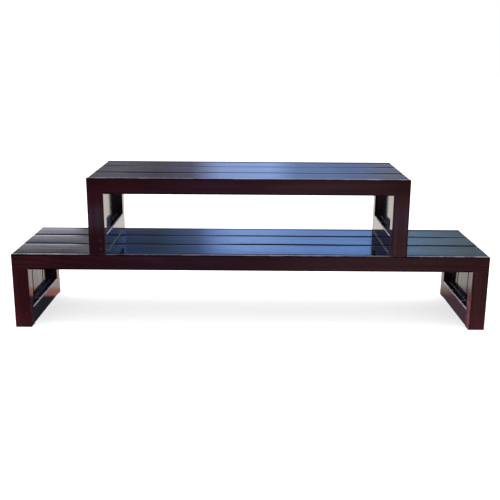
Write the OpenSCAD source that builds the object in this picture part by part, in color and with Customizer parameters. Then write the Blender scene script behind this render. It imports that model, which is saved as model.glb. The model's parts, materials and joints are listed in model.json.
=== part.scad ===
// Two-tier stained timber riser: two board-topped benches of the same depth and height.
// The short bench stands on the long one. X runs along the length, the front faces -Y, Z is up.
// The origin is on the floor, at the centre of the long bench's footprint. Millimetres.

/* [Benches] */
// Length of the lower bench
lower_length = 1830; // [1600:10:2000]
// Length of the upper bench
upper_length = 1210; // [900:10:1300]
// How far the upper bench stands off centre
upper_shift = -9; // [-60:1:60]
// Depth of both benches, front to back
depth = 460; // [420:5:500]
// Height of one bench
tier_height = 295; // [270:1:340]

/* [Frames] */
// Width of a leg, seen from the front
leg_width = 62; // [60:1:80]
// Thickness of legs and rails, front to back
frame_thickness = 46; // [44:1:60]
// Height of the long rail that lies on the legs
rail_height = 60; // [56:1:70]
// Outer lip of rail and leg that hides the boards' ends
lip = 16; // [14:1:18]
// Radius of the frame's rounded arrises
arris = 3; // [1:0.5:4]

/* [Boards] */
// Thickness of the deck boards
board_thickness = 28; // [24:1:29]
// Thickness of the upright end boards
end_board_thickness = 34; // [28:1:34]
// Gap between neighbouring boards
board_gap = 3; // [1:0.5:5]
// First gap of the lower deck, from the front face
lower_gap_front = 172; // [160:1:185]
// Second gap of the lower deck, from the front face
lower_gap_rear = 318; // [305:1:330]
// First gap of the upper deck, from the front face
upper_gap_front = 157; // [150:1:185]
// Second gap of the upper deck, from the front face
upper_gap_rear = 312; // [300:1:330]
// First gap between the end boards, from the front face
end_gap_front = 150; // [146:1:165]
// Second gap between the end boards, from the front face
end_gap_rear = 294; // [285:1:310]
// Radius of the boards' eased top arrises
board_ease = 1.5; // [0.5:0.5:3]

/* [Inner timbers] */
// Height of the foot rails between front and rear legs
foot_rail_height = 72; // [66:1:90]
// Width of the middle battens under the deck boards
batten_width = 45; // [40:1:70]

/* [Fasteners] */
// Radius of the dowels
dowel_radius = 4; // [3:0.5:4.5]
// Shank radius of the screws
screw_radius = 2; // [1.5:0.25:2.25]
// Length of the screws under the deck
deck_screw_length = 45; // [38:1:50]
// Length of the screws through the legs
leg_screw_length = 70; // [60:1:80]
// Radius of the wooden plugs over the leg screws
plug_radius = 5; // [4.75:0.25:6]

/* [Hidden] */
$fn = 48;

// Stain and metal colours
rail_stain = [0.19, 0.10, 0.11];
leg_stain = [0.22, 0.09, 0.09];
deck_stain = [0.16, 0.12, 0.15];
inner_stain = [0.15, 0.09, 0.10];
bare_wood = [0.72, 0.56, 0.38];
zinc = [0.75, 0.75, 0.72];

// Sides and ends, as signs
LEFT = -1;
RIGHT = 1;
FRONT = -1;
REAR = 1;

// Overlap used when one solid cuts another
cut = 1;
// Play round a dowel, a screw or a plug in its hole, and beside the end boards
play = 0.05;

half_depth = depth / 2;
deck_underside = tier_height - board_thickness;
leg_top = tier_height - rail_height;
rebate_depth = frame_thickness - lip;
ledge_height = rail_height - board_thickness;
board_count = 3;

// Middle battens, as distances from each bench's centre
lower_batten_x = lower_length * 0.314;
upper_batten_x = upper_length * 0.153;

// Dowels between a leg and the rail on it
leg_dowel_length = 50;
leg_dowel_in_rail = 22;
leg_dowel_offsets = [9, 22];
leg_dowel_from_face = 14;

// Dowels between the end boards and the timbers inside them
end_dowel_in_board = 18;
end_dowel_in_timber = 12;
end_dowel_spread = 28;
end_dowel_z = [foot_rail_height / 2, leg_top + ledge_height / 2];

// Screws that hold the deck boards from below
screw_head_radius = 2 * screw_radius;
screw_head_height = screw_radius + 1;
deck_screw_spread = 30;
batten_screw_stagger = 9;
end_batten_screw_x = 12;
ledge_screw_inset = 120;
lower_ledge_screws = 5;
upper_ledge_screws = 4;

// Screws through the legs into the foot rails, each sunk and plugged
leg_screw_z = [24, 57];
leg_screw_x = 45;
counterbore_depth = 14;
plug_depth = 10;

// ---- Places: where each board, batten and fastener sits ----

// Front and rear edge of each of three boards, from the front face
function board_edges(start, gap_front, gap_rear) = [
  start, gap_front - board_gap / 2, gap_front + board_gap / 2,
  gap_rear - board_gap / 2, gap_rear + board_gap / 2, depth - start
];
lower_edges = board_edges(lip, lower_gap_front, lower_gap_rear);
upper_edges = board_edges(lip, upper_gap_front, upper_gap_rear);
end_edges = board_edges(lip + play, end_gap_front, end_gap_rear);

// Width of board i, and its middle in Y
function board_width(edges, i) = edges[2 * i + 1] - edges[2 * i];
function board_middle(edges, i) = (edges[2 * i] + edges[2 * i + 1]) / 2 - half_depth;

// Two screws per board on one batten; stagger is their offset either side of x
function batten_screws(x, stagger, edges) = [
  for (i = [0 : board_count - 1], s = [-1, 1])
    [x + s * stagger, board_middle(edges, i) + s * deck_screw_spread]
];

// A row of screws up through each rail's ledge
function ledge_screws(length, count) = [
  for (side = [FRONT, REAR], i = [0 : count - 1])
    [
      (length - 2 * ledge_screw_inset) * (i / (count - 1) - 0.5),
      side * (half_depth - lip - rebate_depth / 2)
    ]
];

function end_screw_x(length, side) = side * (length / 2 - leg_width + end_batten_screw_x);

function deck_screws(length, batten_places, count, edges) = concat(
  [for (x = batten_places, p = batten_screws(x, batten_screw_stagger, edges)) p],
  [for (side = [LEFT, RIGHT], p = batten_screws(end_screw_x(length, side), 0, edges)) p],
  ledge_screws(length, count)
);

lower_batten_places = [-lower_batten_x, 0, lower_batten_x];
upper_batten_places = [-upper_batten_x, upper_batten_x];
lower_screws = deck_screws(lower_length, lower_batten_places, lower_ledge_screws, lower_edges);
upper_screws = deck_screws(upper_length, upper_batten_places, upper_ledge_screws, upper_edges);

// ---- Shared shapes ----

// Moves a child modelled on the floor onto the lower bench
module on_upper() translate([upper_shift, 0, tier_height]) children();

// Rectangle from [0, 0] with its corners rounded
module rounded_rectangle(w, h, r) {
  translate([r, 0]) square([w - 2 * r, h]);
  translate([0, r]) square([w, h - 2 * r]);
  for (x = [r, w - r], y = [r, h - r]) translate([x, y]) circle(r);
}

// Outer block of one bench, with all its long arrises rounded
module bench_block(length) {
  intersection() {
    translate([-length / 2, -half_depth, 0])
      linear_extrude(tier_height) rounded_rectangle(length, depth, arris);
    translate([0, half_depth, 0]) rotate([90, 0, 0])
      linear_extrude(depth)
        translate([-length / 2, 0]) rounded_rectangle(length, tier_height, arris);
    translate([-length / 2, 0, 0]) rotate([90, 0, 90])
      linear_extrude(length)
        translate([-half_depth, 0]) rounded_rectangle(depth, tier_height, arris);
  }
}

// Mirrors a child made for the right-hand front corner to any corner
module at_corner(x_side, y_side)
  mirror([x_side == LEFT ? 1 : 0, 0, 0])
    mirror([0, y_side == REAR ? 1 : 0, 0])
      children();

// Box given by its low and high corners
module box(low, high) translate(low) cube(high - low);

// A screw pointing up from z, head at the bottom; grow widens it to its hole
module upright_screw(z, length, grow = 0) {
  translate([0, 0, z])
    cylinder(h = screw_head_height, r1 = screw_head_radius + grow, r2 = screw_radius + grow);
  translate([0, 0, z]) cylinder(h = length + grow, r = screw_radius + grow);
}

module deck_screw_set(places, grow = 0)
  for (p = places) translate([p.x, p.y, 0]) upright_screw(leg_top, deck_screw_length, grow);

// Dowels that tie one leg to its rail, for the right-hand front corner
module leg_dowel_pair(length, grow = 0)
  for (x = leg_dowel_offsets)
    translate([length / 2 - leg_width + x, leg_dowel_from_face - half_depth, 0])
      translate([0, 0, leg_top + leg_dowel_in_rail - leg_dowel_length - grow])
        cylinder(h = leg_dowel_length + 2 * grow, r = dowel_radius + grow);

module all_leg_dowels(length, grow = 0)
  for (x_side = [LEFT, RIGHT], y_side = [FRONT, REAR])
    at_corner(x_side, y_side) leg_dowel_pair(length, grow);

// Dowels that tie each end board to the foot rail and to the end batten, on one side
module end_board_dowel_set(length, side, grow = 0)
  for (i = [0 : board_count - 1], s = [-1, 1], z = end_dowel_z)
    mirror([side == LEFT ? 1 : 0, 0, 0])
      translate([
        length / 2 - end_board_thickness - end_dowel_in_timber - grow,
        board_middle(end_edges, i) + s * end_dowel_spread,
        z
      ])
        rotate([0, 90, 0])
          cylinder(h = end_dowel_in_timber + end_dowel_in_board + 2 * grow, r = dowel_radius + grow);

// Places a child that points inward from the front face at each leg screw of one corner
module at_leg_screws(length)
  for (z = leg_screw_z)
    translate([length / 2 - leg_screw_x, -half_depth, z]) rotate([-90, 0, 0]) children();

// One screw through a leg, along its local +Z; grow widens it to its hole
module leg_screw(grow = 0) {
  translate([0, 0, counterbore_depth]) {
    cylinder(h = screw_head_height, r1 = screw_head_radius + grow, r2 = screw_radius + grow);
    cylinder(h = leg_screw_length + grow, r = screw_radius + grow);
  }
}

// The hole of one leg screw: plug hole, countersink and shank
module leg_screw_hole() {
  translate([0, 0, -cut]) cylinder(h = counterbore_depth + cut, r = plug_radius + play);
  leg_screw(play);
}

module all_leg_screws(length)
  for (x_side = [LEFT, RIGHT], y_side = [FRONT, REAR])
    at_corner(x_side, y_side) at_leg_screws(length) leg_screw();

module all_leg_plugs(length)
  for (x_side = [LEFT, RIGHT], y_side = [FRONT, REAR])
    at_corner(x_side, y_side) at_leg_screws(length) cylinder(h = plug_depth, r = plug_radius);

// ---- Timbers, each modelled on the floor ----

// Long rail over two legs: full height at the lip, a ledge behind it for the deck boards
module rail(length, side, screws)
  color(rail_stain)
    difference() {
      intersection() {
        bench_block(length);
        at_corner(RIGHT, side) {
          box([-length / 2, -half_depth, leg_top], [length / 2, lip - half_depth, tier_height]);
          box(
            [end_board_thickness - length / 2, -half_depth, leg_top],
            [length / 2 - end_board_thickness, frame_thickness - half_depth, deck_underside]
          );
        }
      }
      all_leg_dowels(length, play);
      deck_screw_set(screws, play);
    }

// Leg with a rebate on its outer side for the end boards
module leg(length, x_side, y_side)
  color(leg_stain)
    difference() {
      intersection() {
        bench_block(length);
        at_corner(x_side, y_side) {
          box(
            [length / 2 - leg_width, -half_depth, 0],
            [length / 2, lip - half_depth, leg_top]
          );
          box(
            [length / 2 - leg_width, -half_depth, 0],
            [length / 2 - end_board_thickness, frame_thickness - half_depth, leg_top]
          );
        }
      }
      all_leg_dowels(length, play);
      at_corner(x_side, y_side) at_leg_screws(length) leg_screw_hole();
    }

// Deck board i, running the bench's full length between the rails' lips
module deck_board(length, i, edges, screws)
  color(deck_stain)
    difference() {
      intersection() {
        bench_block(length);
        translate([-length / 2, edges[2 * i] - half_depth, deck_underside])
          rotate([90, 0, 90])
            linear_extrude(length)
              eased_section(board_width(edges, i));
      }
      deck_screw_set(screws, play);
    }

// Section of a deck board: square below, its two top arrises eased
module eased_section(width) {
  square([width, board_thickness - board_ease]);
  translate([board_ease, 0]) square([width - 2 * board_ease, board_thickness]);
  for (x = [board_ease, width - board_ease])
    translate([x, board_thickness - board_ease]) circle(board_ease);
}

// Upright end board i, standing on the floor under the deck
module end_board(length, side, i)
  color(inner_stain)
    difference() {
      intersection() {
        bench_block(length);
        at_corner(side, FRONT)
          box(
            [length / 2 - end_board_thickness, end_edges[2 * i] - half_depth, 0],
            [length / 2, end_edges[2 * i + 1] - half_depth, deck_underside]
          );
      }
      end_board_dowel_set(length, side, play);
    }

// Foot rail on the floor between the front and rear legs
module foot_rail(length, side)
  color(inner_stain)
    difference() {
      at_corner(side, FRONT)
        box(
          [length / 2 - leg_width, frame_thickness - half_depth, 0],
          [length / 2 - end_board_thickness, half_depth - frame_thickness, foot_rail_height]
        );
      end_board_dowel_set(length, side, play);
      for (y_side = [FRONT, REAR])
        at_corner(side, y_side) at_leg_screws(length) leg_screw_hole();
    }

// Batten under the deck, against the end boards
module end_batten(length, side, screws)
  color(inner_stain)
    difference() {
      at_corner(side, FRONT)
        box(
          [length / 2 - leg_width, frame_thickness - half_depth, leg_top],
          [length / 2 - end_board_thickness, half_depth - frame_thickness, deck_underside]
        );
      end_board_dowel_set(length, side, play);
      deck_screw_set(screws, play);
    }

// Batten under the deck, centred on x
module middle_batten(x, screws)
  color(inner_stain)
    difference() {
      box(
        [x - batten_width / 2, frame_thickness - half_depth, leg_top],
        [x + batten_width / 2, half_depth - frame_thickness, deck_underside]
      );
      deck_screw_set(screws, play);
    }

// ---- Fasteners, one group of separate solids each ----

module leg_dowels(length) color(bare_wood) all_leg_dowels(length);

module end_board_dowels(length)
  color(bare_wood)
    for (side = [LEFT, RIGHT]) end_board_dowel_set(length, side);

module deck_screw_group(screws) color(zinc) deck_screw_set(screws);

module leg_screw_group(length) color(zinc) all_leg_screws(length);

module leg_plugs(length) color(leg_stain) all_leg_plugs(length);

// ---- Lower bench ----

module lower_front_rail() rail(lower_length, FRONT, lower_screws);
module lower_rear_rail() rail(lower_length, REAR, lower_screws);
module lower_front_left_leg() leg(lower_length, LEFT, FRONT);
module lower_front_right_leg() leg(lower_length, RIGHT, FRONT);
module lower_rear_left_leg() leg(lower_length, LEFT, REAR);
module lower_rear_right_leg() leg(lower_length, RIGHT, REAR);
module lower_front_deck_board() deck_board(lower_length, 0, lower_edges, lower_screws);
module lower_middle_deck_board() deck_board(lower_length, 1, lower_edges, lower_screws);
module lower_rear_deck_board() deck_board(lower_length, 2, lower_edges, lower_screws);
module lower_left_front_end_board() end_board(lower_length, LEFT, 0);
module lower_left_middle_end_board() end_board(lower_length, LEFT, 1);
module lower_left_rear_end_board() end_board(lower_length, LEFT, 2);
module lower_right_front_end_board() end_board(lower_length, RIGHT, 0);
module lower_right_middle_end_board() end_board(lower_length, RIGHT, 1);
module lower_right_rear_end_board() end_board(lower_length, RIGHT, 2);
module lower_left_foot_rail() foot_rail(lower_length, LEFT);
module lower_right_foot_rail() foot_rail(lower_length, RIGHT);
module lower_left_end_batten() end_batten(lower_length, LEFT, lower_screws);
module lower_right_end_batten() end_batten(lower_length, RIGHT, lower_screws);
module lower_left_batten() middle_batten(-lower_batten_x, lower_screws);
module lower_middle_batten() middle_batten(0, lower_screws);
module lower_right_batten() middle_batten(lower_batten_x, lower_screws);
module lower_leg_dowels() leg_dowels(lower_length);
module lower_end_board_dowels() end_board_dowels(lower_length);
module lower_deck_screws() deck_screw_group(lower_screws);
module lower_leg_screws() leg_screw_group(lower_length);
module lower_leg_plugs() leg_plugs(lower_length);

// ---- Upper bench ----

module upper_front_rail() on_upper() rail(upper_length, FRONT, upper_screws);
module upper_rear_rail() on_upper() rail(upper_length, REAR, upper_screws);
module upper_front_left_leg() on_upper() leg(upper_length, LEFT, FRONT);
module upper_front_right_leg() on_upper() leg(upper_length, RIGHT, FRONT);
module upper_rear_left_leg() on_upper() leg(upper_length, LEFT, REAR);
module upper_rear_right_leg() on_upper() leg(upper_length, RIGHT, REAR);
module upper_front_deck_board() on_upper() deck_board(upper_length, 0, upper_edges, upper_screws);
module upper_middle_deck_board() on_upper() deck_board(upper_length, 1, upper_edges, upper_screws);
module upper_rear_deck_board() on_upper() deck_board(upper_length, 2, upper_edges, upper_screws);
module upper_left_front_end_board() on_upper() end_board(upper_length, LEFT, 0);
module upper_left_middle_end_board() on_upper() end_board(upper_length, LEFT, 1);
module upper_left_rear_end_board() on_upper() end_board(upper_length, LEFT, 2);
module upper_right_front_end_board() on_upper() end_board(upper_length, RIGHT, 0);
module upper_right_middle_end_board() on_upper() end_board(upper_length, RIGHT, 1);
module upper_right_rear_end_board() on_upper() end_board(upper_length, RIGHT, 2);
module upper_left_foot_rail() on_upper() foot_rail(upper_length, LEFT);
module upper_right_foot_rail() on_upper() foot_rail(upper_length, RIGHT);
module upper_left_end_batten() on_upper() end_batten(upper_length, LEFT, upper_screws);
module upper_right_end_batten() on_upper() end_batten(upper_length, RIGHT, upper_screws);
module upper_left_batten() on_upper() middle_batten(-upper_batten_x, upper_screws);
module upper_right_batten() on_upper() middle_batten(upper_batten_x, upper_screws);
module upper_leg_dowels() on_upper() leg_dowels(upper_length);
module upper_end_board_dowels() on_upper() end_board_dowels(upper_length);
module upper_deck_screws() on_upper() deck_screw_group(upper_screws);
module upper_leg_screws() on_upper() leg_screw_group(upper_length);
module upper_leg_plugs() on_upper() leg_plugs(upper_length);

lower_front_rail();
lower_rear_rail();
lower_front_left_leg();
lower_front_right_leg();
lower_rear_left_leg();
lower_rear_right_leg();
lower_front_deck_board();
lower_middle_deck_board();
lower_rear_deck_board();
lower_left_front_end_board();
lower_left_middle_end_board();
lower_left_rear_end_board();
lower_right_front_end_board();
lower_right_middle_end_board();
lower_right_rear_end_board();
lower_left_foot_rail();
lower_right_foot_rail();
lower_left_end_batten();
lower_right_end_batten();
lower_left_batten();
lower_middle_batten();
lower_right_batten();
lower_leg_dowels();
lower_end_board_dowels();
lower_deck_screws();
lower_leg_screws();
lower_leg_plugs();
upper_front_rail();
upper_rear_rail();
upper_front_left_leg();
upper_front_right_leg();
upper_rear_left_leg();
upper_rear_right_leg();
upper_front_deck_board();
upper_middle_deck_board();
upper_rear_deck_board();
upper_left_front_end_board();
upper_left_middle_end_board();
upper_left_rear_end_board();
upper_right_front_end_board();
upper_right_middle_end_board();
upper_right_rear_end_board();
upper_left_foot_rail();
upper_right_foot_rail();
upper_left_end_batten();
upper_right_end_batten();
upper_left_batten();
upper_right_batten();
upper_leg_dowels();
upper_end_board_dowels();
upper_deck_screws();
upper_leg_screws();
upper_leg_plugs();
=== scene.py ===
"""Two-tier stained timber riser: rounded, uneven boards, lacquered wood, soft light, a camera.

Everything is in metres in the CAD frame: X runs along the benches, the front faces -Y and
Z is up from the floor.
"""

import json
import math
import random

import bmesh
import bpy
from mathutils import Euler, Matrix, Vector, noise


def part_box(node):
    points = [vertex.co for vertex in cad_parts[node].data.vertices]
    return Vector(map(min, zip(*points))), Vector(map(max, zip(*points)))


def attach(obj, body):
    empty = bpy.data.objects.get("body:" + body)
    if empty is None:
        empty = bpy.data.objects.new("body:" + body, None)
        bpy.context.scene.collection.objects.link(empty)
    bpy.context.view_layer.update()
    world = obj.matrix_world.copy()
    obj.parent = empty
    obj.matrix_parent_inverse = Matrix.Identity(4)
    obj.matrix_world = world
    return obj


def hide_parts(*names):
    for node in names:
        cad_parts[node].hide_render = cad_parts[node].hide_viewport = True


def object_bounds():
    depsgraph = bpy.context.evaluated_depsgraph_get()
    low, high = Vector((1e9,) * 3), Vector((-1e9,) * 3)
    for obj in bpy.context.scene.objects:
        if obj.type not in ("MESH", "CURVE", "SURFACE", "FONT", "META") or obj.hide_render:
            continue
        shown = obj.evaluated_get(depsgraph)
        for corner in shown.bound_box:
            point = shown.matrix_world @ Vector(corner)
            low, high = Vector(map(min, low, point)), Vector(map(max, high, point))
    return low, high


X, Y, Z = 0, 1, 2
MM = 0.001

# Stain under the lacquer, as linear colours: the dark figure and the lighter wood between it.
RAIL_TONES = {"dark": (0.011, 0.0026, 0.0045), "light": (0.040, 0.0076, 0.0110)}
LEG_TONES = {"dark": (0.011, 0.0025, 0.0042), "light": (0.039, 0.0074, 0.0104)}
RED_LEG_TONES = {"dark": (0.022, 0.0036, 0.0056), "light": (0.062, 0.0100, 0.0130)}
PLUG_TONES = {"dark": (0.018, 0.0060, 0.0080), "light": (0.046, 0.0150, 0.0180)}
DECK_TONES = {"dark": (0.007, 0.0045, 0.0070), "light": (0.026, 0.0140, 0.0180)}
END_TONES = {"dark": (0.003, 0.0028, 0.0060), "light": (0.011, 0.0070, 0.0120)}
INNER_TONES = {"dark": (0.005, 0.0040, 0.0075), "light": (0.016, 0.0090, 0.0140)}

# A painted reflection of reddish ground at the foot of the lower legs, wood rubbed at an arris, a painted
# reflection of pinkish ground on one side, painted light on the foot rails (a highlight along their
# arrises and lines below the gaps between the end boards), and a painted highlight along the front lips
RED_FOOT = (0.075, 0.0130, 0.0150)
RUBBED = (0.11, 0.055, 0.060)
SCUFFED = (0.35, 0.088, 0.098)
DUST = (0.78, 0.79, 0.90)
LIP_DUST = (0.62, 0.54, 0.58)

LACQUER_IOR = 1.5
RING_GAP = 7.5 * MM

# Horizontal directions in which the lacquer mirrors the sky behind the riser: degrees to the
# right of straight back, and the light from there. LOW_SKY lies near the horizon and gives
# way to HIGH_SKY between two elevations. Above SKY_TOP it is dark.
HIGH_SKY = [
    (-23, (0.80, 0.80, 0.90)),
    (-20, (0.27, 0.28, 0.32)),
    (-14.2, (0.20, 0.20, 0.235)),
    (-13.6, (0.20, 0.20, 0.235)),
    (-12.6, (0.42, 0.41, 0.47)),
    (-12, (0.38, 0.37, 0.43)),
    (-11, (0.03, 0.08, 0.36)),
    (-7, (0.07, 0.14, 0.27)),
    (-4, (0.18, 0.33, 0.74)),
    (-2.7, (0.47, 0.80, 1.85)),
    (-1, (0.70, 1.18, 2.38)),
    (5, (0.48, 0.90, 2.05)),
    (9.4, (0.46, 0.90, 1.95)),
    (10, (0.08, 0.12, 0.34)),
    (11.5, (0.08, 0.12, 0.34)),
    (12.1, (0.40, 0.72, 1.15)),
    (14, (0.35, 0.56, 0.78)),
    (17, (0.27, 0.37, 0.42)),
]
LOW_SKY = [
    (-16, (1.60, 1.56, 1.85)),
    (-13.4, (1.70, 1.66, 1.95)),
    (-12.6, (0.20, 0.20, 0.235)),
    (-10, (0.22, 0.22, 0.26)),
    (-7, (0.14, 0.14, 0.18)),
    (-4.5, (0.17, 0.19, 0.29)),
    (-2.3, (0.52, 0.72, 1.30)),
    (1.5, (0.56, 0.82, 1.50)),
    (3.5, (0.28, 0.43, 0.80)),
    (8, (0.22, 0.32, 0.60)),
    (11, (0.28, 0.31, 0.42)),
    (13.5, (0.12, 0.22, 0.36)),
]
LOW_TO_HIGH = (9.5, 15.0)
SKY_TOP = (15.8, 17.5)
DARK_ABOVE = (0.04, 0.06, 0.14)
HORIZON = (0.95, 0.90, 0.95)
HORIZON_HAZE = (5.0, 3.0)
SKY_IN_FRONT = (0.42, 0.46, 0.52)
OVERHEAD = (35.0, 50.0)

# Ground in front of the riser as its faces mirror it: X in metres, and the light there. The
# upper legs also mirror a violet band across it.
FRONT_GROUND = [
    (-1.31, (0.02, 0.01, 0.02)),
    (-1.20, (0.10, 0.03, 0.04)),
    (-0.85, (0.03, 0.03, 0.05)),
    (-0.45, (0.10, 0.09, 0.19)),
    (-0.20, (0.15, 0.12, 0.24)),
    (0.00, (0.21, 0.13, 0.19)),
    (0.35, (0.31, 0.21, 0.25)),
    (0.75, (0.36, 0.25, 0.26)),
    (0.95, (0.29, 0.22, 0.19)),
    (1.18, (0.17, 0.13, 0.11)),
    (1.32, (0.11, 0.08, 0.07)),
]
BAND_Y = -2.27
BAND_EDGES = (0.55, 0.12)
BAND_LIGHT = (0.34, 0.31, 0.48)
# Painted shade of the riser on the ground under it, on the left and on the right, as the lacquer mirrors
# it
UNDER_LEFT = (0.05, 0.045, 0.07)
UNDER_RIGHT = (0.20, 0.12, 0.16)

# Ground as the lacquer mirrors it: metres behind the riser's rear face, and the light there, on the left
# and on the right. The dark first stops, under the rear edge and, on the right, a little behind it, are
# painted shade of the riser. Farther behind, it darkens to the sides.
GROUND_BEHIND_LEFT = [
    (-0.10, (0.05, 0.045, 0.07)),
    (-0.06, (0.80, 0.32, 0.28)),
    (0.02, (0.92, 0.42, 0.37)),
    (0.08, (1.00, 0.90, 0.84)),
    (0.90, (1.35, 1.26, 1.18)),
]
GROUND_BEHIND_RIGHT = [
    (-0.10, (0.14, 0.085, 0.11)),
    (-0.02, (0.30, 0.16, 0.17)),
    (0.05, (0.55, 0.40, 0.38)),
    (0.16, (1.00, 0.90, 0.84)),
    (0.90, (1.35, 1.26, 1.18)),
]
FAR_TO_THE_SIDES = (0.34, 0.24, 0.26)

# The eye that sees the riser: lens in mm, metres from the front face, metres above the floor,
# metres right of the middle, and degrees down, of lean and to the left
LENS = 54.36
EYE_DISTANCE = 2.776
EYE_HEIGHT = 1.0486
EYE_OFFSET = -0.00125
LOOK_DOWN = 14.747
LEAN = 0.382
LOOK_LEFT = 0.0158


# ---------------------------------------------------------------- node helpers


def add_node(tree, kind, inputs=None, **settings):
    """A new node with its settings made and its inputs linked or filled."""
    node = tree.nodes.new(kind)
    for name, value in settings.items():
        setattr(node, name, value)
    for key, value in (inputs or {}).items():
        if isinstance(value, bpy.types.NodeSocket):
            tree.links.new(value, node.inputs[key])
        else:
            node.inputs[key].default_value = value
    return node


def calc(tree, operation, a, b=0.0, c=0.0, clamp=False):
    """The result of one Math node."""
    inputs = {0: a, 1: b, 2: c}
    return add_node(tree, "ShaderNodeMath", inputs, operation=operation, use_clamp=clamp).outputs[0]


def opaque(colour):
    """A colour input that may be a socket or three numbers."""
    return colour if isinstance(colour, bpy.types.NodeSocket) else (*colour, 1.0)


def mixed(tree, factor, a, b):
    """Two colours mixed by a factor."""
    inputs = {0: factor, 6: opaque(a), 7: opaque(b)}
    return add_node(tree, "ShaderNodeMix", inputs, data_type="RGBA").outputs[2]


def ramp_between(tree, value, low, high, smooth=True):
    """0 below low and 1 above high, smooth or straight between them."""
    inputs = {"Value": value, "From Min": low, "From Max": high}
    kind = "SMOOTHSTEP" if smooth else "LINEAR"
    return add_node(tree, "ShaderNodeMapRange", inputs, interpolation_type=kind).outputs[0]


def colour_stops(tree, value, stops):
    """The colour at a value, from a list of (value, colour) stops."""
    first, last = stops[0][0], stops[-1][0]
    share = ramp_between(tree, value, first, last, smooth=False)
    ramp = add_node(tree, "ShaderNodeValToRGB", {0: share})
    elements = ramp.color_ramp.elements
    while len(elements) < len(stops):
        elements.new(0.5)
    for element, (place, colour) in zip(elements, stops):
        element.position = (place - first) / (last - first)
        element.color = opaque(colour)
    return ramp.outputs[0]


def stretched_noise(tree, vector, scale, detail=2.0, roughness=0.5):
    """Noise with a scale of its own, in features per metre, along each axis."""
    spread = add_node(
        tree, "ShaderNodeVectorMath", {0: vector, 1: scale}, operation="MULTIPLY"
    ).outputs[0]
    inputs = {"Vector": spread, "Scale": 1.0, "Detail": detail, "Roughness": roughness}
    return add_node(tree, "ShaderNodeTexNoise", inputs).outputs[0]


# ---------------------------------------------------------------- wood


def make_figured_wood():
    """Makes the node group of solid wood: rings round a pith, fibres, pores, blotches of stain.

    The input vector has the grain along Z, in metres from the pith.
    """
    tree = bpy.data.node_groups.new("figured_wood", "ShaderNodeTree")
    tree.interface.new_socket("Vector", in_out="INPUT", socket_type="NodeSocketVector")
    vector = add_node(tree, "NodeGroupInput").outputs[0]

    bend = stretched_noise(tree, vector, (4.0, 4.0, 0.9), detail=3.0)
    axes = add_node(tree, "ShaderNodeSeparateXYZ", {0: vector})
    drift = calc(tree, "MULTIPLY", calc(tree, "SUBTRACT", bend, 0.5), 0.05)
    across_a = calc(tree, "ADD", axes.outputs[0], drift)
    across_b = calc(tree, "SUBTRACT", axes.outputs[1], drift)
    radius = calc(
        tree, "SQRT", calc(tree, "MULTIPLY_ADD", across_a, across_a, calc(tree, "POWER", across_b, 2.0))
    )
    phase = calc(tree, "MULTIPLY", radius, 2 * math.pi / RING_GAP)
    rings = calc(tree, "MULTIPLY_ADD", calc(tree, "SINE", phase), 0.5, 0.5)

    outputs = {
        "Rings": calc(tree, "POWER", rings, 1.6),
        "Streaks": stretched_noise(tree, vector, (110.0, 110.0, 3.2), detail=3.0, roughness=0.6),
        "Fibres": stretched_noise(tree, vector, (640.0, 640.0, 14.0), detail=2.0),
        "Pores": ramp_between(tree, stretched_noise(tree, vector, (900.0, 900.0, 34.0)), 0.60, 0.72),
        "Blotches": stretched_noise(tree, vector, (9.0, 9.0, 1.8), detail=2.0),
        "Waviness": stretched_noise(tree, vector, (26.0, 26.0, 1.7), detail=1.5),
        "Sheen": stretched_noise(tree, vector, (62.0, 62.0, 1.3), detail=2.0, roughness=0.65),
    }
    for name in outputs:
        tree.interface.new_socket(name, in_out="OUTPUT", socket_type="NodeSocketFloat")
    add_node(tree, "NodeGroupOutput", outputs)


def arris_distances(tree, sides, low, high, grain):
    """Distance to the nearest arris of a box, and to the nearest one along the grain."""
    gaps = []
    for axis in (X, Y, Z):
        from_low = calc(tree, "SUBTRACT", sides[axis], low[axis])
        from_high = calc(tree, "SUBTRACT", high[axis], sides[axis])
        gaps.append(calc(tree, "MINIMUM", from_low, from_high))
    end = gaps.pop(grain)
    smaller = calc(tree, "MINIMUM", *gaps)
    larger = calc(tree, "MAXIMUM", *gaps)
    return calc(tree, "MAXIMUM", smaller, calc(tree, "MINIMUM", larger, end)), larger


def grain_vector(tree, sides, grain, low, high, dice):
    """The position turned so that the grain runs along Z, measured from a random pith."""
    across = [axis for axis in (X, Y, Z) if axis != grain]
    turn = dice.uniform(0, 2 * math.pi)
    reach = dice.uniform(0.05, 0.14)
    offsets = [
        reach * math.cos(turn) - (low[across[0]] + high[across[0]]) / 2,
        reach * math.sin(turn) - (low[across[1]] + high[across[1]]) / 2,
        dice.uniform(0, 40),
    ]
    moved = [
        calc(tree, "ADD", sides[axis], offset) for axis, offset in zip((*across, grain), offsets)
    ]
    return add_node(tree, "ShaderNodeCombineXYZ", dict(enumerate(moved))).outputs[0]


def clear_of_joint(tree, sides, span):
    """1 inside a span (axis, from, to, height) or above its height, 0 at the leg-rail joints."""
    axis, start, end, height = span
    fade = 4 * MM
    after = ramp_between(tree, sides[axis], start, start + fade)
    before = ramp_between(tree, sides[axis], end, end - fade)
    above = ramp_between(tree, sides[Z], height, height + fade)
    return calc(tree, "MAXIMUM", calc(tree, "MULTIPLY", after, before), above)


def softened_normal(tree, clear):
    """The surface normal, with its arrises rounded where clear is 1."""
    rounded = add_node(tree, "ShaderNodeBevel", {"Radius": 3.0 * MM}, samples=6).outputs[0]
    plain = add_node(tree, "ShaderNodeNewGeometry").outputs["Normal"]
    inputs = {0: clear, 4: plain, 5: rounded}
    return add_node(tree, "ShaderNodeMix", inputs, data_type="VECTOR").outputs[1]


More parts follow.
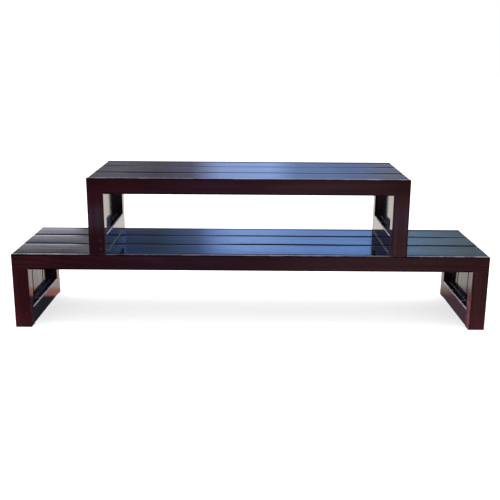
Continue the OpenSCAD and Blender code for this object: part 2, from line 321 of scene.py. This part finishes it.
def dust_under_gaps(tree, sides, gaps, reach):
    """Mask of painted light: 1 on the upward faces along lines at the given places in Y, fading out at
    reach.
    """
    facing = add_node(
        tree, "ShaderNodeSeparateXYZ", {0: add_node(tree, "ShaderNodeNewGeometry").outputs["Normal"]}
    )
    total = 0.0
    for gap in gaps:
        off = calc(tree, "ABSOLUTE", calc(tree, "SUBTRACT", sides[Y], gap))
        total = calc(tree, "ADD", ramp_between(tree, off, reach, reach - 5 * MM), total)
    return calc(tree, "MULTIPLY", total, ramp_between(tree, facing.outputs[Z], 0.7, 0.95))


def wood_colour(tree, out, height, tones, lift, red_foot):
    """Stain that follows rings, streaks and blotches, made redder at a foot by a painted reflection of
    reddish ground, with dark pores.

    height: above the foot; lift: how much lighter the whole timber is.
    """
    figure = calc(tree, "MULTIPLY_ADD", out["Rings"], 0.42, calc(tree, "MULTIPLY", out["Streaks"], 0.62))
    figure = calc(tree, "MULTIPLY", figure, ramp_between(tree, out["Blotches"], 0.22, 0.72))
    colour = mixed(tree, calc(tree, "ADD", figure, lift, clamp=True), tones["dark"], tones["light"])
    # Painted reflection of reddish ground near the floor, patchy with the blotches
    if red_foot:
        near_foot = calc(tree, "MULTIPLY", ramp_between(tree, height, red_foot, 0.0), 0.55)
        redder = calc(tree, "MULTIPLY", near_foot, ramp_between(tree, out["Blotches"], 0.2, 0.6))
        colour = mixed(tree, redder, colour, RED_FOOT)
    return mixed(tree, calc(tree, "MULTIPLY", out["Pores"], 0.55), colour, tones["dark"])


def gathered_grime(tree, blotches, distance, strength, reach):
    """How much painted shade darkens the wood at a distance from the arrises."""
    edge = calc(tree, "MULTIPLY_ADD", blotches, reach, 1.5 * MM)
    fading = calc(tree, "MULTIPLY_ADD", ramp_between(tree, blotches, 0.38, 0.55), 0.35, 0.65)
    near = ramp_between(tree, distance, edge, 3.0 * MM)
    return calc(tree, "MULTIPLY", near, calc(tree, "MULTIPLY", fading, strength))


def scuffs(tree, sides, side, rubbing):
    """Patchy painted reflection of pinkish ground on the side at X = side, strongest near the floor."""
    off = calc(tree, "ABSOLUTE", calc(tree, "SUBTRACT", sides[X], side))
    patches = calc(tree, "MULTIPLY_ADD", rubbing, 0.65, 0.35)
    on_side = calc(tree, "MULTIPLY", ramp_between(tree, off, 2 * MM, 0.5 * MM), patches)
    return calc(tree, "MULTIPLY", on_side, ramp_between(tree, sides[Z], 0.19, 0.09))


def set_gloss(tree, shader, position, out, worn, grimy, sheen):
    """Smeared lacquer that is duller where it is rubbed or has light painted on, and mirrors less where
    shade is painted.
    """
    smears = stretched_noise(tree, position, (7.0, 7.0, 7.0), detail=4.0)
    rough = calc(tree, "MULTIPLY_ADD", smears, 0.09, 0.035)
    tree.links.new(calc(tree, "MULTIPLY_ADD", worn, 0.3, rough), shader.inputs["Roughness"])
    shader.inputs["IOR"].default_value = LACQUER_IOR
    uneven = calc(tree, "SUBTRACT", out["Sheen"], 0.5)
    gloss = calc(tree, "MULTIPLY_ADD", uneven, 2 * sheen, 0.5, clamp=True)
    gloss = calc(tree, "MULTIPLY", gloss, calc(tree, "MULTIPLY_ADD", grimy, -0.9, 1.0))
    tree.links.new(gloss, shader.inputs["Specular IOR Level"])


def set_relief(tree, shader, out, wave, streaks, normal=None):
    """Fine grain under the lacquer, and a slow unevenness of wave millimetres."""
    grain_relief = calc(tree, "MULTIPLY_ADD", out["Fibres"], 0.5, calc(tree, "MULTIPLY", out["Pores"], -1))
    fine = {"Height": grain_relief, "Distance": 0.03 * MM, "Strength": 0.6}
    if normal is not None:
        fine["Normal"] = normal
    grained = add_node(tree, "ShaderNodeBump", fine).outputs[0]
    relief = calc(tree, "MULTIPLY_ADD", out["Streaks"], streaks, out["Waviness"])
    broad = {"Height": relief, "Distance": wave * MM, "Strength": 1.0, "Normal": grained}
    tree.links.new(add_node(tree, "ShaderNodeBump", broad).outputs[0], shader.inputs["Normal"])


def lacquered_wood(name, grain, box, tones, wave=0.25, streaks=0.12, sheen=0.4, red_foot=None,
                   soften=None, grime=0.0, grime_reach=7 * MM, rub=0.35, pale_arris=0.0,
                   dust_gaps=(), dust=0.8, dust_reach=7 * MM, dust_colour=DUST,
                   scuffed_side=None):
    """Stained wood under gloss lacquer.

    wave: unevenness of the lacquer in millimetres; streaks: share of it that follows the grain.
    sheen: how much its gloss varies from streak to streak.
    red_foot: height above the foot below which a painted reflection of reddish ground makes the stain
    redder.
    soften: (axis, from, to, height). The arrises look rounded, rubbed and darkened by painted shade only
    between the two places on the axis, and above the height. Without it they are rubbed and shaded
    everywhere.
    grime, grime_reach: how dark the painted shade along the arrises is, and how far in it reaches.
    rub, pale_arris: how far the arrises are rubbed, and how strong the painted highlight along the long
    arrises is.
    dust_gaps, dust, dust_reach, dust_colour: where in Y lines of painted light lie on the top, how strong
    they are, how far they reach either way, and their colour.
    scuffed_side: X of a side with a painted reflection of pinkish ground near the floor.
    """
    dice = random.Random(name)
    low, high = box
    material = bpy.data.materials.new(name)
    material.use_nodes = True
    tree = material.node_tree
    shader = tree.nodes["Principled BSDF"]
    position = add_node(tree, "ShaderNodeTexCoord").outputs["Object"]
    sides = add_node(tree, "ShaderNodeSeparateXYZ", {0: position}).outputs
    vector = grain_vector(tree, sides, grain, low, high, dice)
    group = bpy.data.node_groups["figured_wood"]
    figured = add_node(tree, "ShaderNodeGroup", node_tree=group)
    tree.links.new(vector, figured.inputs[0])
    out = figured.outputs

    height = calc(tree, "SUBTRACT", sides[Z], low[Z])
    colour = wood_colour(tree, out, height, tones, dice.uniform(-0.07, 0.07), red_foot)
    any_arris, long_arris = arris_distances(tree, sides, low, high, grain)
    clear = clear_of_joint(tree, sides, soften) if soften else 1.0
    nearest = long_arris if soften else any_arris
    # Painted shade along the arrises: darker wood that the lacquer mirrors less
    grimy = gathered_grime(tree, out["Blotches"], nearest, grime, grime_reach)
    grimy = calc(tree, "MULTIPLY", grimy, clear)
    colour = mixed(tree, grimy, colour, tuple(0.2 * part for part in tones["dark"]))

    rubbing = ramp_between(tree, stretched_noise(tree, position, (19.0, 19.0, 19.0), 3.0), 0.42, 0.66)
    edge = calc(tree, "MULTIPLY", ramp_between(tree, any_arris, 3.5 * MM, 0.6 * MM), clear)
    layers = [(calc(tree, "MULTIPLY", edge, calc(tree, "MULTIPLY", rubbing, rub)), RUBBED)]
    # Painted highlight along the long arrises
    if pale_arris:
        rim = ramp_between(tree, long_arris, 5.0 * MM, 3.5 * MM)
        layers.append((calc(tree, "MULTIPLY", rim, pale_arris), DUST))
    # Patchy lines of painted light on the top at the given places in Y
    if dust_gaps:
        patches = calc(tree, "MULTIPLY_ADD", rubbing, 0.7 * dust, 0.3 * dust)
        fallen = dust_under_gaps(tree, sides, dust_gaps, dust_reach)
        layers.append((calc(tree, "MULTIPLY", fallen, patches), dust_colour))
    # Painted reflection of pinkish ground on one side near the floor
    if scuffed_side is not None:
        layers.append((scuffs(tree, sides, scuffed_side, rubbing), SCUFFED))
    # Duller lacquer where the arrises are rubbed and where light is painted on
    worn = 0.0
    for share, tint in layers:
        colour = mixed(tree, share, colour, tint)
        worn = calc(tree, "MAXIMUM", worn, share)
    tree.links.new(colour, shader.inputs["Base Color"])

    set_gloss(tree, shader, position, out, worn, grimy, sheen)
    set_relief(tree, shader, out, wave, streaks, softened_normal(tree, clear) if soften else None)
    return material


def speckled(name, dark, light, scale, metallic=0.0):
    """A plain fleck-grained finish for the parts that stay hidden in the joints."""
    material = bpy.data.materials.new(name)
    material.use_nodes = True
    tree = material.node_tree
    shader = tree.nodes["Principled BSDF"]
    position = add_node(tree, "ShaderNodeTexCoord").outputs["Object"]
    flecks = stretched_noise(tree, position, (scale, scale, scale), detail=5.0)
    tree.links.new(mixed(tree, flecks, dark, light), shader.inputs["Base Color"])
    tree.links.new(calc(tree, "MULTIPLY_ADD", flecks, 0.5, 0.2), shader.inputs["Roughness"])
    shader.inputs["Metallic"].default_value = metallic
    bump = add_node(tree, "ShaderNodeBump", {"Height": flecks, "Distance": 0.03 * MM})
    tree.links.new(bump.outputs[0], shader.inputs["Normal"])
    return material


# ---------------------------------------------------------------- uneven timbers


def wander(seed, along, size):
    """A smooth random number of about +-size that changes slowly along a timber."""
    return size * noise.noise(Vector((seed, along * 2.6, 0.37)))


def rounded_section(width, height, ease, reach):
    """Section of a timber round its middle, all four arrises rounded, flats divided.

    reach: how far the wide faces are divided finely from their arrises.
    """
    steps = 4
    rim = 1.2 * MM
    points = []
    for turn in range(4):
        wide = turn % 2 == 0
        flat = (width if wide else height) / 2 - ease
        depth = (height if wide else width) / 2
        insets = [rim]
        if wide and reach:
            insets += [reach * share for share in (0.3, 0.55, 0.8, 1.0)]
        spots = [-flat] + [inset - flat for inset in insets] + [0.0]
        spots += [flat - inset for inset in reversed(insets)]
        local = [(spot, depth) for spot in spots]
        local += [
            (flat + ease * math.sin(math.radians(90 * step / steps)),
             depth - ease + ease * math.cos(math.radians(90 * step / steps)))
            for step in range(steps)
        ]
        angle = math.radians(-90 * turn)
        for a, b in local:
            points.append((a * math.cos(angle) - b * math.sin(angle),
                           a * math.sin(angle) + b * math.cos(angle)))
    return points


def stations(start, end, count, ease):
    """Places along a timber, closer together where its two ends are rounded."""
    near = [ease * share for share in (0.0, 0.1, 0.4, 1.0, 1.4)]
    inner = [start + (end - start) * i / count for i in range(1, count)]
    return [start + d for d in near] + inner + [end - d for d in reversed(near)]


def skinned(name, rings):
    """An object whose skin joins rings of points and closes both ends."""
    mesh = bmesh.new()
    corners = [[mesh.verts.new(point) for point in ring] for ring in rings]
    for first, second in zip(corners, corners[1:]):
        for index in range(len(first)):
            after = (index + 1) % len(first)
            mesh.faces.new((first[index], first[after], second[after], second[index]))
    mesh.faces.new(corners[0])
    mesh.faces.new(reversed(corners[-1]))
    bmesh.ops.recalc_face_normals(mesh, faces=mesh.faces)
    data = bpy.data.meshes.new(name)
    mesh.to_mesh(data)
    mesh.free()
    data.shade_smooth()
    data.set_sharp_from_angle(angle=math.radians(35))
    piece = bpy.data.objects.new(name, data)
    bpy.context.scene.collection.objects.link(piece)
    return piece


def swept_timber(node, along, across, up, seed, ease, wobble, end_ease=0.0, roll=(0.0, 0.0),
                 settle=0.0, count=48):
    """A timber with rounded arrises that wanders a little, in place of the CAD one.

    along, across and up are the axes of its length, width and thickness.
    ease, end_ease: how round its long arrises and the top arrises of its ends are.
    wobble: about how far its edges wander and its top sinks.
    roll: how far in from the arrises the wide faces start to fall away, and how far they fall.
    settle: how far at most the whole timber has sunk.
    """
    low, high = box_of(node)
    size, middle = high - low, (low + high) / 2
    reach, fall = roll
    outline = rounded_section(size[across], size[up], ease, reach)
    step = settle * random.Random(node).random()
    rings = []
    for place in stations(low[along], high[along], count, end_ease or ease):
        from_end = min(place - low[along], high[along] - place)
        inset = end_ease - math.sqrt(max(0.0, end_ease**2 - max(0.0, end_ease - from_end) ** 2))
        first_edge = wander(seed, place, wobble)
        second_edge = wander(seed + 17.3, place, wobble)
        sink = abs(wander(seed + 41.9, place, wobble)) + step
        falls = [fall * max(0.2, 1 + wander(seed + way, place, 2.0)) for way in (61.3, 83.7)]
        ring = []
        for a, b in outline:
            share = a / size[across] + 0.5
            level = b / size[up] + 0.5
            past = max(0.0, abs(a) - (size[across] / 2 - ease - reach)) / (reach + ease)
            point = Vector()
            point[along] = place
            point[across] = middle[across] + a + first_edge * (1 - share) + second_edge * share
            point[up] = middle[up] + b - (sink + inset + falls[a > 0] * past**2) * level
            ring.append(point)
        rings.append(ring)
    return skinned(node + "_shaped", rings)


# Length, width and thickness axes of the timbers that get a shape of their own, with the
# roundness and unevenness of each
SHAPES = {
    "deck_wood": dict(
        along=X, across=Y, up=Z, ease=3 * MM, wobble=0.9 * MM, end_ease=3 * MM,
        roll=(13 * MM, 0.7 * MM), settle=1.5 * MM,
    ),
    "end_board_wood": dict(along=Z, across=Y, up=X, ease=3.5 * MM, wobble=0.4 * MM, count=16),
    "foot_rail_wood": dict(along=Y, across=X, up=Z, ease=2.5 * MM, wobble=0.15 * MM, count=16),
}


# ---------------------------------------------------------------- dressing the frame


def box_of(node):
    """A CAD node's box as two plain vectors."""
    low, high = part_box(node)
    return Vector(low), Vector(high)


def end_board_gaps(foot_rail):
    """Middles in Y of the gaps between the end boards beside a foot rail."""
    front, middle, rear = (
        box_of(foot_rail.replace("foot_rail", place + "_end_board"))
        for place in ("front", "middle", "rear")
    )
    return [(front[1].y + middle[0].y) / 2, (middle[1].y + rear[0].y) / 2]


def wood_finish(node, slot, box):
    """Grain axis and finish of one timber."""
    low, high = box
    if slot == "rail_wood":
        leg_low, leg_high = box_of(node.replace("rail", "left_leg"))
        past_leg = leg_high.x - leg_low.x + 2 * MM
        span = (X, low.x + past_leg, high.x - past_leg, (low.z + high.z) / 2)
        # Painted shade along the arrises
        finish = dict(tones=RAIL_TONES, soften=span, grime=1.0, grime_reach=11 * MM)
        if "front" in node:
            # Painted highlight along the front lip
            middle_of_lip = low.y + 8 * MM
            finish.update(dust_gaps=[middle_of_lip], dust=0.4, dust_reach=9 * MM, dust_colour=LIP_DUST)
        return X, finish
    if slot == "leg_wood":
        tones = RED_LEG_TONES if node == "lower_front_left_leg" else LEG_TONES
        span = (Z, low.z - 0.01, high.z - 2 * MM, high.z + 0.01)
        # Painted shade along the arrises
        finish = dict(tones=tones, soften=span, grime=0.5, grime_reach=11 * MM)
        if node.startswith("lower"):
            # Painted reflection of reddish ground at the foot
            finish["red_foot"] = 0.09
        if node == "lower_front_right_leg":
            # Painted reflection of pinkish ground low on its inner side
            finish["scuffed_side"] = low.x
        return Z, finish
    if slot == "foot_rail_wood":
        gaps = end_board_gaps(node)
        # Painted highlight along the arrises, and lines of painted light below the gaps between the end
        # boards
        return Y, dict(tones=INNER_TONES, sheen=0.2, pale_arris=0.85, dust_gaps=gaps)
    return {
        "plug_wood": (Z, dict(tones=PLUG_TONES, rub=0.0)),
        "deck_wood": (
            X,
            dict(
                tones=DECK_TONES, wave=0.4, streaks=0.25, sheen=0.6,
                # Painted shade along the arrises
                grime=0.78, grime_reach=12 * MM, rub=0.2,
            ),
        ),
        "end_board_wood": (
            Z,
            # Painted shade along the arrises
            dict(tones=END_TONES, streaks=0.35, sheen=0.7, grime=0.9, grime_reach=10 * MM),
        ),
        "batten_wood": (Y, dict(tones=INNER_TONES)),
    }[slot]


def dress(piece, node, slot, shared):
    """Gives a piece its material; each timber has a figure of its own."""
    if slot in shared:
        material = shared[slot]
    else:
        box = box_of(node)
        grain, finish = wood_finish(node, slot, box)
        material = lacquered_wood("stained_" + node, grain, box, **finish)
    piece.data.materials.clear()
    piece.data.materials.append(material)


# ---------------------------------------------------------------- surroundings


def make_surroundings():
    """Even white light, and a sky behind the riser that only the lacquer mirrors."""
    world = bpy.data.worlds.new("surroundings")
    bpy.context.scene.world = world
    world.use_nodes = True
    tree = world.node_tree
    tree.nodes.clear()
    direction = add_node(tree, "ShaderNodeTexCoord").outputs["Generated"]
    axes = add_node(tree, "ShaderNodeSeparateXYZ", {0: direction}).outputs
    degrees = calc(tree, "MULTIPLY", calc(tree, "ARCTAN2", axes[X], axes[Y]), 180 / math.pi)
    elevation = calc(tree, "MULTIPLY", calc(tree, "ARCSINE", axes[Z]), 180 / math.pi)
    low_sky = colour_stops(tree, degrees, LOW_SKY)
    high_sky = colour_stops(tree, degrees, HIGH_SKY)
    behind = mixed(tree, ramp_between(tree, elevation, *LOW_TO_HIGH), low_sky, high_sky)
    behind = mixed(tree, ramp_between(tree, elevation, *SKY_TOP), behind, DARK_ABOVE)
    behind = mixed(tree, ramp_between(tree, elevation, *HORIZON_HAZE), behind, HORIZON)
    mirrored = mixed(tree, ramp_between(tree, axes[Y], 0.35, -0.1), behind, SKY_IN_FRONT)
    mirrored = mixed(tree, ramp_between(tree, elevation, *OVERHEAD), mirrored, DARK_ABOVE)
    rays = add_node(tree, "ShaderNodeLightPath")
    glossy = add_node(tree, "ShaderNodeBackground", {"Color": mirrored})
    plain = add_node(tree, "ShaderNodeBackground", {"Color": (1.0, 1.0, 1.0, 1.0)})
    inputs = {0: rays.outputs["Is Glossy Ray"], 1: plain.outputs[0], 2: glossy.outputs[0]}
    choice = add_node(tree, "ShaderNodeMixShader", inputs)
    add_node(tree, "ShaderNodeOutputWorld", {0: choice.outputs[0]})


def ground_behind(tree, axes, to_right, rear):
    """Ground behind the rear face: dark in painted shade of the riser, then red on the left or brown on
    the right, then pale.
    """
    depth = calc(tree, "SUBTRACT", axes[Y], rear)
    left = colour_stops(tree, depth, GROUND_BEHIND_LEFT)
    right = colour_stops(tree, depth, GROUND_BEHIND_RIGHT)
    behind = mixed(tree, to_right, left, right)
    to_side = ramp_between(tree, calc(tree, "ABSOLUTE", axes[X]), 0.65, 1.0)
    to_side = calc(tree, "MULTIPLY", to_side, ramp_between(tree, depth, 0.75, 1.0))
    return mixed(tree, to_side, behind, FAR_TO_THE_SIDES)


def mirrored_ground(tree, low, high):
    """The ground that the lacquer mirrors: dark before the riser, in painted shade under it and at its
    rear face, bright behind.
    """
    position = add_node(tree, "ShaderNodeTexCoord").outputs["Object"]
    axes = add_node(tree, "ShaderNodeSeparateXYZ", {0: position}).outputs
    to_right = ramp_between(tree, axes[X], low.x * 0.5, high.x * 0.5)
    front = colour_stops(tree, axes[X], FRONT_GROUND)
    from_band = calc(tree, "ABSOLUTE", calc(tree, "SUBTRACT", axes[Y], BAND_Y))
    front = mixed(tree, ramp_between(tree, from_band, *BAND_EDGES), front, BAND_LIGHT)
    # Painted shade under the riser
    under = mixed(tree, to_right, UNDER_LEFT, UNDER_RIGHT)
    near = mixed(tree, ramp_between(tree, axes[Y], low.y - 0.3, low.y), front, under)
    behind = ground_behind(tree, axes, to_right, high.y)
    return mixed(tree, ramp_between(tree, axes[Y], high.y - 0.10, high.y - 0.05), near, behind)


def make_floor(low, high):
    """A plain pale floor with light shadows; mirror rays see a glowing painted ground instead, with
    painted reflections and painted shade of the riser.
    """
    bpy.ops.mesh.primitive_plane_add(size=60.0, location=(0.0, 0.0, 0.0))
    floor = bpy.context.object
    floor.name = "floor"
    material = bpy.data.materials.new("pale_floor")
    material.use_nodes = True
    tree = material.node_tree
    paint = tree.nodes["Principled BSDF"]
    paint.inputs["Base Color"].default_value = (0.93, 0.93, 0.93, 1.0)
    paint.inputs["Roughness"].default_value = 0.9
    paint.inputs["Specular IOR Level"].default_value = 0.0
    paint.inputs["Emission Color"].default_value = (1.0, 1.0, 1.0, 1.0)
    rays = add_node(tree, "ShaderNodeLightPath").outputs
    glow = calc(tree, "MULTIPLY", rays["Is Camera Ray"], 0.6)
    tree.links.new(glow, paint.inputs["Emission Strength"])
    # Painted reflection: for mirror rays the floor glows with the painted ground
    ground = add_node(tree, "ShaderNodeEmission", {"Color": mirrored_ground(tree, low, high)})
    inputs = {0: rays["Is Glossy Ray"], 1: paint.outputs[0], 2: ground.outputs[0]}
    choice = add_node(tree, "ShaderNodeMixShader", inputs)
    tree.links.new(choice.outputs[0], tree.nodes["Material Output"].inputs[0])
    floor.data.materials.append(material)


def make_softbox(name, place, aim, size, power):
    """A large soft lamp, unseen in mirror reflections."""
    data = bpy.data.lights.new(name, "AREA")
    data.shape = "RECTANGLE"
    data.size, data.size_y = size
    data.energy = power
    lamp = bpy.data.objects.new(name, data)
    lamp.location = place
    lamp.rotation_euler = (Vector(aim) - Vector(place)).to_track_quat("-Z", "Y").to_euler()
    lamp.visible_glossy = False
    bpy.context.scene.collection.objects.link(lamp)


def make_camera(low, high):
    """The view of somebody who stands in front of the riser."""
    data = bpy.data.cameras.new("camera")
    data.sensor_width = 36.0
    data.lens = LENS
    camera = bpy.data.objects.new("camera", data)
    camera.location = ((low.x + high.x) / 2 + EYE_OFFSET, low.y - EYE_DISTANCE, EYE_HEIGHT)
    aim = Euler((math.radians(90 - LOOK_DOWN), 0.0, math.radians(LOOK_LEFT))).to_matrix()
    lean = Euler((0.0, 0.0, math.radians(LEAN))).to_matrix()
    camera.rotation_euler = (aim @ lean).to_euler()
    bpy.context.scene.collection.objects.link(camera)
    bpy.context.scene.camera = camera


# ---------------------------------------------------------------- the scene

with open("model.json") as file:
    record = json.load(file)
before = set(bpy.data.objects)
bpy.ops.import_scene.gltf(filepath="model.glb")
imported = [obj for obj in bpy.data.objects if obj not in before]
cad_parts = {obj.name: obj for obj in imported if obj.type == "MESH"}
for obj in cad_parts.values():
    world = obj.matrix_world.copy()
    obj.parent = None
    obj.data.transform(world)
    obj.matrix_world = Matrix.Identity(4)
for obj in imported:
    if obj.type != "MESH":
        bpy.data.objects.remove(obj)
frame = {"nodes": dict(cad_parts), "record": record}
cad_low, cad_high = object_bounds()
bpy.context.scene.view_settings.view_transform = "Standard"

make_figured_wood()
shared_finishes = {
    "dowel_wood": speckled("beech", (0.36, 0.20, 0.09), (0.62, 0.42, 0.22), 900.0),
    "zinc_steel": speckled("zinc_steel", (0.42, 0.41, 0.38), (0.72, 0.71, 0.66), 420.0, metallic=1.0),
}
slots = {part["node"]: part["material_slot"] for part in frame["record"]["subparts"]}
for body, nodes in frame["record"]["behaviour"]["bodies"].items():
    for number, node in enumerate(nodes):
        piece, slot = frame["nodes"][node], slots[node]
        if slot in SHAPES:
            piece = swept_timber(node, seed=number * 7.1 + len(body), **SHAPES[slot])
            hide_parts(node)
            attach(piece, body)
        dress(piece, node, slot, shared_finishes)

make_surroundings()
make_floor(cad_low, cad_high)
make_softbox("overhead", (0.0, 0.4, 3.2), (0.0, 0.2, 0.0), (4.0, 3.0), 60.0)
make_camera(cad_low, cad_high)
